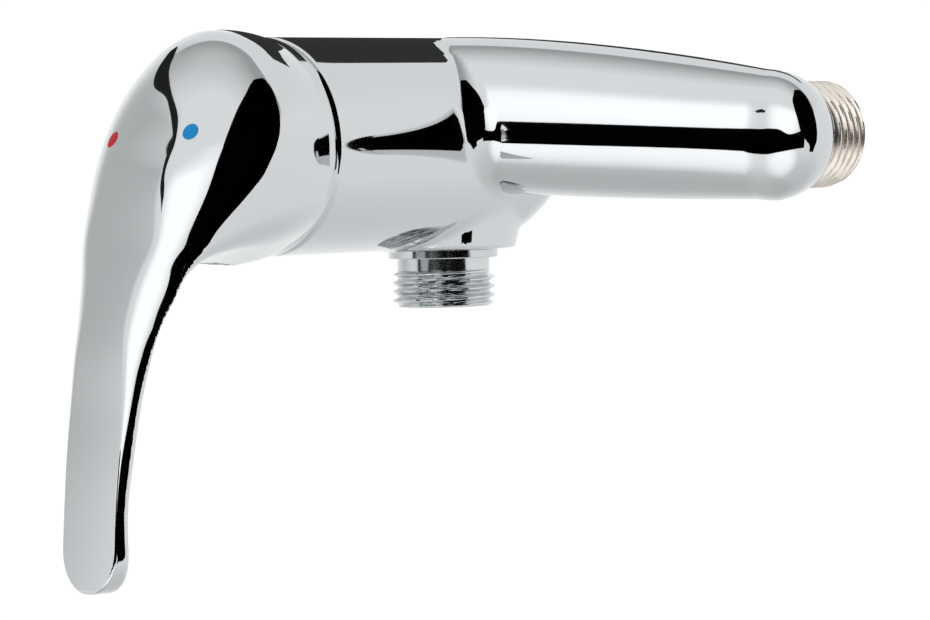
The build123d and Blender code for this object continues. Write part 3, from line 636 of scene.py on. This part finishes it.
# Wall nipples: turned brass with a male pipe thread behind each nose, nickel plated, screwed into the nose.
# The thread is one skin whose radius follows the turn, faded out at both ends.
def threaded_skin():
    """Node tree for a pipe thread about the local Z axis, starting at height zero."""
    tree = bpy.data.node_groups.new("pipe_thread", "GeometryNodeTree")
    tree.is_modifier = True
    sockets = {}
    for name, kind in (
        ("Crest Radius", "NodeSocketFloat"),
        ("Root Radius", "NodeSocketFloat"),
        ("Pitch", "NodeSocketFloat"),
        ("Length", "NodeSocketFloat"),
        ("Run Out", "NodeSocketFloat"),
        ("Rows", "NodeSocketInt"),
        ("Finish", "NodeSocketMaterial"),
    ):
        sockets[name] = tree.interface.new_socket(name, in_out="INPUT", socket_type=kind)
    tree.interface.new_socket("Geometry", in_out="OUTPUT", socket_type="NodeSocketGeometry")
    given = tree.nodes.new("NodeGroupInput")
    result = tree.nodes.new("NodeGroupOutput")

    def maths(operation, *values):
        """Output of a maths node on values and sockets."""
        node = tree.nodes.new("ShaderNodeMath")
        node.operation = operation
        for slot_in, value in zip(node.inputs, values):
            if isinstance(value, bpy.types.NodeSocket):
                tree.links.new(value, slot_in)
            else:
                slot_in.default_value = value
        return node.outputs[0]

    sheet = tree.nodes.new("GeometryNodeMeshGrid")
    sheet.inputs["Size X"].default_value = 1
    sheet.inputs["Size Y"].default_value = 1
    sheet.inputs["Vertices X"].default_value = around + 1
    tree.links.new(given.outputs["Rows"], sheet.inputs["Vertices Y"])
    where = tree.nodes.new("GeometryNodeInputPosition")
    parts = tree.nodes.new("ShaderNodeSeparateXYZ")
    tree.links.new(where.outputs[0], parts.inputs[0])
    turn = maths("ADD", parts.outputs["X"], 0.5)
    height = maths("MULTIPLY", maths("ADD", parts.outputs["Y"], 0.5), given.outputs["Length"])
    turns_up = maths("DIVIDE", height, given.outputs["Pitch"])
    wave = maths("PINGPONG", maths("SUBTRACT", turns_up, turn), 0.5)
    tooth_root, tooth_crest = 0.06, 0.42
    tooth = tree.nodes.new("ShaderNodeMapRange")
    tooth.inputs["From Min"].default_value = tooth_root
    tooth.inputs["From Max"].default_value = tooth_crest
    tree.links.new(wave, tooth.inputs["Value"])
    left = maths("SUBTRACT", given.outputs["Length"], height)
    nearest_end = maths("MINIMUM", height, left)
    fade = maths("MINIMUM", maths("DIVIDE", nearest_end, given.outputs["Run Out"]), 1.0)
    tall = maths("SUBTRACT", given.outputs["Crest Radius"], given.outputs["Root Radius"])
    relief = maths("MULTIPLY", maths("MULTIPLY", tooth.outputs[0], fade), tall)
    radius = maths("ADD", relief, given.outputs["Root Radius"])
    angle = maths("MULTIPLY", turn, 2 * pi)
    placed = tree.nodes.new("ShaderNodeCombineXYZ")
    tree.links.new(maths("MULTIPLY", radius, maths("COSINE", angle)), placed.inputs["X"])
    tree.links.new(maths("MULTIPLY", radius, maths("SINE", angle)), placed.inputs["Y"])
    tree.links.new(height, placed.inputs["Z"])
    bend = tree.nodes.new("GeometryNodeSetPosition")
    tree.links.new(sheet.outputs["Mesh"], bend.inputs["Geometry"])
    tree.links.new(placed.outputs[0], bend.inputs["Position"])
    realise = tree.nodes.new("GeometryNodeRealizeInstances")
    tree.links.new(bend.outputs[0], realise.inputs[0])
    coat = tree.nodes.new("GeometryNodeSetMaterial")
    tree.links.new(realise.outputs[0], coat.inputs["Geometry"])
    tree.links.new(given.outputs["Finish"], coat.inputs["Material"])
    tree.links.new(coat.outputs[0], result.inputs[0])
    return tree, sockets


thread_tree, thread_sockets = threaded_skin()
pipe_crest_radius = 10.48
pipe_root_radius = 9.35
pipe_pitch = 1.814
thread_run_out = 0.9
rows_per_turn = 14
crease_angle = radians(38)


def threaded_piece(name, length, rest_of_outline, finish, start, direction):
    """Thread from the tree, closed by a turned outline that runs from its far end round to its start."""
    maker = build_mesh(name + "_thread", [], [])
    threading = maker.modifiers.new("thread", "NODES")
    threading.node_group = thread_tree
    sizes = {
        "Crest Radius": pipe_crest_radius * mm,
        "Root Radius": pipe_root_radius * mm,
        "Pitch": pipe_pitch * mm,
        "Length": length * mm,
        "Run Out": thread_run_out * mm,
        "Rows": int(length / pipe_pitch * rows_per_turn),
        "Finish": finish,
    }
    for key, value in sizes.items():
        threading[thread_sockets[key].identifier] = value
    evaluated = maker.evaluated_get(bpy.context.evaluated_depsgraph_get())
    thread = bpy.data.meshes.new_from_object(evaluated)
    bpy.data.objects.remove(maker)
    points, faces = turned_shape(rest_of_outline)
    first = len(points)
    points += [tuple(v.co) for v in thread.vertices]
    faces += [tuple(first + i for i in p.vertices) for p in thread.polygons]
    piece = build_mesh(name, points, faces)
    close_up(piece)
    piece.data.transform(along(start, direction))
    piece.data.materials.append(finish)
    piece.data.shade_smooth()
    piece.data.set_sharp_from_angle(angle=crease_angle)
    return piece


def metal_finish(name, light, dark, rough, grain):
    """Turned or plated metal with fine tool marks."""
    tool_marks = (grain * 12, 2, 0.15, 0.00005)
    return surface_finish(name, 1.0, (light, dark), rough, (grain, 6), tool_marks)


nickel = metal_finish("nickel_plate", (0.80, 0.755, 0.69), (0.66, 0.60, 0.53), (0.16, 0.3), 150)
inlet_length = -inlet_shoulder_y
inlet_outline = [
    (inlet_length, pipe_root_radius), (inlet_length, 6.5), (-6.0, 6.5), (-6.0, 8.4), (0, 8.4),
    (0, pipe_root_radius),
]
for name, side in (("left", -1), ("right", 1)):
    start = (side * inlet_x, inlet_shoulder_y, 0)
    nipple = threaded_piece(f"wall_nipple_{name}", inlet_length, inlet_outline, nickel, start, (0, 1, 0))
    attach(nipple, "fixed")
    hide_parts(f"inlet_nipple_{name}")

# Outlet nipple: turned brass with a flange, a plain neck and the hose thread, chromium plated.
# It is screwed up into the boss until its flange seats there.
outlet_length = 7.4
outlet_neck_height = 4.3
outlet_outline = [
    (outlet_length, pipe_root_radius), (outlet_length, 7.15), (-11.3, 7.15), (-11.3, 8.6),
    (-outlet_neck_height, 8.6), (-outlet_neck_height, 11.0), (-4.1, 11.2), (-2.7, 11.2), (-2.5, 11.0),
    (-2.5, 9.45), (-0.1, 9.45), (0, pipe_root_radius),
]
thread_chrome = metal_finish("thread_chrome", (0.72, 0.74, 0.75), (0.5, 0.52, 0.53), (0.06, 0.2), 220)
start = (0, outlet_y, boss_bottom_z - outlet_neck_height)
hose_nipple = threaded_piece("hose_nipple", outlet_length, outlet_outline, thread_chrome, start, (0, 0, -1))
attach(hose_nipple, "fixed")
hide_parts("outlet_nipple")


# Seals: moulded black rubber, matt, with a fine bloom. Flat rings sit behind the nipples' spigots,
# round ones under the cartridge and in the cover ring's groove.
def coat_node(node_name, material):
    """Give a CAD node's object its finish."""
    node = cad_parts[node_name]
    if not node.material_slots:
        node.data.materials.append(material)
    for material_slot in node.material_slots:
        material_slot.material = material


def moulded_finish(name, light, dark, rough, grain, pit):
    """Moulded, fired or enamelled material with a faint mottle and fine pits."""
    rough_band = (rough * 0.85, min(rough * 1.15, 1.0))
    return surface_finish(name, 0.0, (light, dark), rough_band, (grain, 8), (grain * 10, 2, pit, 0.00004))


rubber = moulded_finish("black_rubber", (0.03, 0.03, 0.032), (0.014, 0.014, 0.015), 0.6, 300, 0.3)
for node_name in ("inlet_seal_left", "inlet_seal_right", "outlet_seal", "base_seals", "cover_ring_seal"):
    coat_node(node_name, rubber)

# Check valve: white plastic tube and poppet in the outlet nipple, shut by a drawn stainless spring.
# The moulding shows a faint flow pattern and a satin skin.
white_plastic = moulded_finish("white_plastic", (0.86, 0.86, 0.83), (0.78, 0.78, 0.75), 0.38, 90, 0.08)
coat_node("check_valve_housing", white_plastic)
coat_node("check_valve_poppet", white_plastic)
spring_steel = metal_finish("spring_steel", (0.64, 0.63, 0.62), (0.5, 0.5, 0.5), (0.2, 0.32), 400)
coat_node("check_valve_spring", spring_steel)

# Cartridge shell: grey plastic cup, base and turning guide, snapped together round the discs and carrier.
# The grey plastic is glass filled, so its skin is slightly rough and speckled; the carrier is plain white.
grey_plastic = moulded_finish("grey_plastic", (0.30, 0.31, 0.33), (0.23, 0.24, 0.26), 0.45, 260, 0.2)
for node_name in ("cartridge_base", "cartridge_housing", "spindle_guide"):
    coat_node(node_name, grey_plastic)
coat_node("disc_carrier", white_plastic)

# Ceramic discs: fired alumina, lapped flat on the faces that rub, warm white and finely grained.
ceramic = moulded_finish("white_ceramic", (0.88, 0.86, 0.80), (0.82, 0.80, 0.73), 0.22, 700, 0.1)
coat_node("fixed_ceramic_disc", ceramic)
coat_node("moving_ceramic_disc", ceramic)

# Spindle, nut, pin and grub screw: the spindle and the cartridge nut are turned and milled brass left bare,
# the cross pin and the lever's screw are ground steel. All of them show fine tool marks.
bare_brass = metal_finish("bare_brass", (0.78, 0.58, 0.29), (0.66, 0.47, 0.21), (0.22, 0.36), 180)
for node_name in ("lever_spindle", "cartridge_nut"):
    coat_node(node_name, bare_brass)
steel = metal_finish("ground_steel", (0.60, 0.60, 0.60), (0.48, 0.48, 0.49), (0.15, 0.3), 350)
coat_node("spindle_pin", steel)
coat_node("lever_grub_screw", steel)

# Cover ring: turned brass band between body and lever, chromium plated and pushed into the body's recess.
# Its polish is the same bright chrome as the castings.
coat_node("cover_ring", chrome)


# Lever: a hollow domed hood that runs into a hanging paddle, cast in one piece and chromium plated.
# A square socket inside takes the spindle, and a threaded hole below takes the grub screw.
hood_radius = 22.9
hood_rim_radius = 22.0
hood_rim_y = -85.5
hood_centre_y = -92.8
hood_depth = 27
hood_drawn_in_reach = 9
hood_fullness = 1.7
neck_roundness = 9.6
paddle_tip_z = -83.4
paddle_tip_height, paddle_tip_fullness = 9.0, 2.2
paddle_draft, draft_reach = 0.33, 9
flank_top_z, flank_top_round = 8, 8.0
face_crown, face_lean = 129, 0.95
back_sample, back_softness = 0.4, 1.2
back_edge, neck_edge = 1.3, 3.0
lever_rear_y = -84.0
# The lever's lines, each given at its own heights: face, half width, shoulder roundness and back.
face_heights = [-84, -76, -67, -57, -48, -38, -33, -28, -23, -17, -10, -4, 2, 6, 10, 16, 22]
face_line = [
    -128.8, -128.3, -127.6, -126.5, -125.2, -123.9, -122.9, -121.6, -120.2,
    -118.4, -116.7, -114.7, -111.6, -109.6, -107.8, -104.7, -100.4,
]
width_heights = [-84, -76, -67, -57, -48, -38, -33, -28, -23, -17, -10, 0, 12]
width_line = [8.2, 8, 7.9, 8.3, 9, 10.1, 11.3, 13, 14.4, 15.6, 16.2, 15.8, 16.4]
shoulder_heights = [-84, -57, -43, -38, -33, -28, -23, -17, -10, 2, 22]
shoulder_line = [0.7, 0.7, 2.4, 3.6, 5.4, 6.8, 7.1, 6.5, 9.4, 11.4, 5.2]
back_heights = [-84, -76, -67, -57, -48, -38, -33, -28, -23, -19, -15, -10, 0, 22]
back_line = [
    -124.4, -124.8, -124.5, -123.1, -121.7, -119.6, -118.3, -116.0, -112.9, -106, -96, -82, -52, 0,
]


def hood_form(x, y, z):
    """Dome that is drawn in a little towards its open rim."""
    radial = np.sqrt(x * x + z * z)
    along_hood = y - hood_centre_y
    dome = oval_gap(along_hood, radial, hood_depth, hood_radius, hood_fullness)
    rear_share = np.clip(along_hood, 0, hood_drawn_in_reach) / (hood_rim_y - hood_centre_y)
    drawn_in = (hood_radius - hood_rim_radius) * rear_share**2
    return np.where(along_hood < 0, dome, radial - hood_radius + drawn_in)


def lever_form(points):
    """Dome and drafted paddle joined by a soft neck, then faced off in front with a rounded shoulder."""
    x, y, z = points.T
    face = through(face_heights, face_line, z) + x * x / (2 * face_crown)
    half_width = through(width_heights, width_line, z)
    tip = np.clip((paddle_tip_z + paddle_tip_height - z) / paddle_tip_height, 0, 1)
    half_width = half_width * np.sqrt(np.maximum(1 - tip**paddle_tip_fullness, 1e-4))
    flank = np.abs(x) - half_width - paddle_draft * draft_reach * np.tanh((y - face) / draft_reach)
    flank = rounded_corner(flank / sqrt(1 + paddle_draft**2), z - flank_top_z, flank_top_round)
    flank = np.maximum(flank, paddle_tip_z - z)
    above = through(back_heights, back_line, z + back_sample)
    below = through(back_heights, back_line, z - back_sample)
    back_slant = (above - below) / (2 * back_sample)
    back = (y - through(back_heights, back_line, z)) / np.sqrt(back_softness + back_slant**2)
    paddle = rounded_corner(flank, back, np.interp(z, [-34, -22], [back_edge, neck_edge]))
    hood = hood_form(x, y, z)
    shoulder = through(shoulder_heights, shoulder_line, z)
    faced = rounded_corner(rounded_join(hood, flank, neck_roundness), (face - y) * face_lean, shoulder)
    return np.maximum(np.maximum(rounded_join(hood, paddle, neck_roundness), faced), y - lever_rear_y)


def block(low, high):
    """Plain block used as a cutter or as the spindle's socket boss inside the hood."""
    ends = list(zip(low, high))
    points = [(x * mm, y * mm, z * mm) for x in ends[0] for y in ends[1] for z in ends[2]]
    faces = [(0, 1, 3, 2), (4, 6, 7, 5), (0, 4, 5, 1), (2, 3, 7, 6), (0, 2, 6, 4), (1, 5, 7, 3)]
    made = build_mesh("block", points, faces)
    close_up(made)
    return made


lever_cell = 0.42
lever_low, lever_high = (-25, -131, -86), (25, -82, 25)
lever_points, lever_faces = cast_skin(lever_form, lever_low, lever_high, lever_cell)
lever_casting = build_mesh("lever_casting", lever_points, lever_faces)
hood_wall, rim_wall = 1.9, 1.1
hollow_depth = 14.0
hollow_radius = hood_radius - hood_wall
rim_height = 1.5
hollow_start = hood_rim_y + rim_height
hollow_mid = hollow_start - hood_centre_y
hollow_outline = [(0, 0), (0, hood_rim_radius - rim_wall), (hollow_mid, hollow_radius)]
for turn in range(0, 91, 6):
    a = radians(turn)
    hollow_outline.append((hollow_mid + hollow_depth * sin(a), hollow_radius * max(cos(a), 0)))
hollow = turned_piece("hollow", hollow_outline, (0, hollow_start, 0), (0, -1, 0))
inner_front_y = hood_centre_y - hollow_depth
boss_half, boss_rear_y = 6.3, -85.6
socket_half, socket_end_y = 3.56, -98.4
boss_front_y = inner_front_y - 0.8
grub_y, grub_boss_z, grub_face_z = -94.5, -22.2, -22.4
grub_boss_radius, grub_face_radius, grub_hole_radius = 4.4, 4.0, 2.62
lever_steps = [
    (drill((0, -60, 0), (0, hood_rim_y, 0), 40), "DIFFERENCE"),
    (hollow, "DIFFERENCE"),
    (block((-boss_half, boss_front_y, -boss_half), (boss_half, boss_rear_y, boss_half)), "UNION"),
    (drill((0, grub_y, -4), (0, grub_y, grub_boss_z), grub_boss_radius), "UNION"),
    (block((-socket_half, socket_end_y, -socket_half), (socket_half, -80, socket_half)), "DIFFERENCE"),
    (drill((0, grub_y, grub_face_z), (0, grub_y, -40), grub_face_radius), "DIFFERENCE"),
    (drill((0, grub_y, -3), (0, grub_y, -40), grub_hole_radius), "DIFFERENCE"),
]


# Marks: red enamel for hot and blue for cold, each a thin round inlay let into the hood's face.
# They follow the hood's curve and stand a hair proud of the chrome.
def face_point(x, z):
    """Place on the lever's front face at a given width and height, and its outward direction."""
    y = np.linspace(-120, -95, 2501)
    line = np.stack([np.full_like(y, x), y, np.full_like(y, z)], 1)
    found = line[np.argmax(lever_form(line) < 0)]
    outward = slope(lever_form, found[None])[0]
    return Vector(found), Vector(outward).normalized()


mark_radius = 1.65
mark_gap, mark_bed = 0.04, 0.1
mark_depth = 0.8
mark_proud = 0.03
mark_rings, mark_spokes = 6, 48
mark_settling_passes = 4
recess_reach = 3
# Each mark by its place on the face, its two tints and its finish.
marks = {
    "hot_mark": (-10.4, 2.1, (0.50, 0.006, 0.012), (0.36, 0.003, 0.008), "red_enamel"),
    "cold_mark": (11.5, 3.2, (0.01, 0.25, 0.56), (0.006, 0.17, 0.44), "blue_enamel"),
}
for name, (mark_x, mark_z, light, dark, slot_name) in marks.items():
    centre, outward = face_point(mark_x, mark_z)
    mouth = centre + outward * recess_reach
    recess = drill(centre - outward * mark_depth, mouth, mark_radius + mark_gap)
    lever_steps.append((recess, "DIFFERENCE"))
    turn = outward.to_track_quat("Z", "Y").to_matrix()
    points = []
    for ring in range(mark_rings, 0, -1):
        for spoke in range(mark_spokes):
            angle = 2 * pi * spoke / mark_spokes
            radius = mark_radius * ring / mark_rings
            points.append(centre + turn @ Vector((radius * cos(angle), radius * sin(angle), 0)))
    points.append(centre.copy())
    for _ in range(mark_settling_passes):
        spots = np.array([tuple(p) for p in points])
        drop = lever_form(spots) - mark_proud
        points = [p - outward * float(d) for p, d in zip(points, drop)]
    last = (mark_rings - 1) * mark_spokes
    middle = mark_rings * mark_spokes
    under = len(points)
    points += [p - outward * (mark_depth - mark_bed) for p in points[:mark_spokes]]
    faces = []
    for spoke in range(mark_spokes):
        following = (spoke + 1) % mark_spokes
        for first in range(0, last, mark_spokes):
            inner = first + mark_spokes
            faces.append((first + spoke, first + following, inner + following, inner + spoke))
        faces.append((last + spoke, last + following, middle))
        faces.append((spoke, under + spoke, under + following, following))
    faces.append(tuple(range(under, under + mark_spokes)))
    mark = build_mesh(f"{name}_inlay", [p * mm for p in points], faces)
    close_up(mark)
    mark.data.shade_smooth()
    mark.data.set_sharp_from_angle(angle=radians(40))
    enamel = moulded_finish(slot_name, light, dark, 0.4, 500, 0.03)
    enamel.node_tree.nodes["Principled BSDF"].inputs["Specular IOR Level"].default_value = 0.12
    mark.data.materials.append(enamel)
    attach(mark, "lever")
    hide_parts(name)

machine(lever_casting, lever_steps)
polish(lever_casting, lever_form)
lever_casting.data.materials.append(chrome)
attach(lever_casting, "lever")
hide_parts("lever_handle")
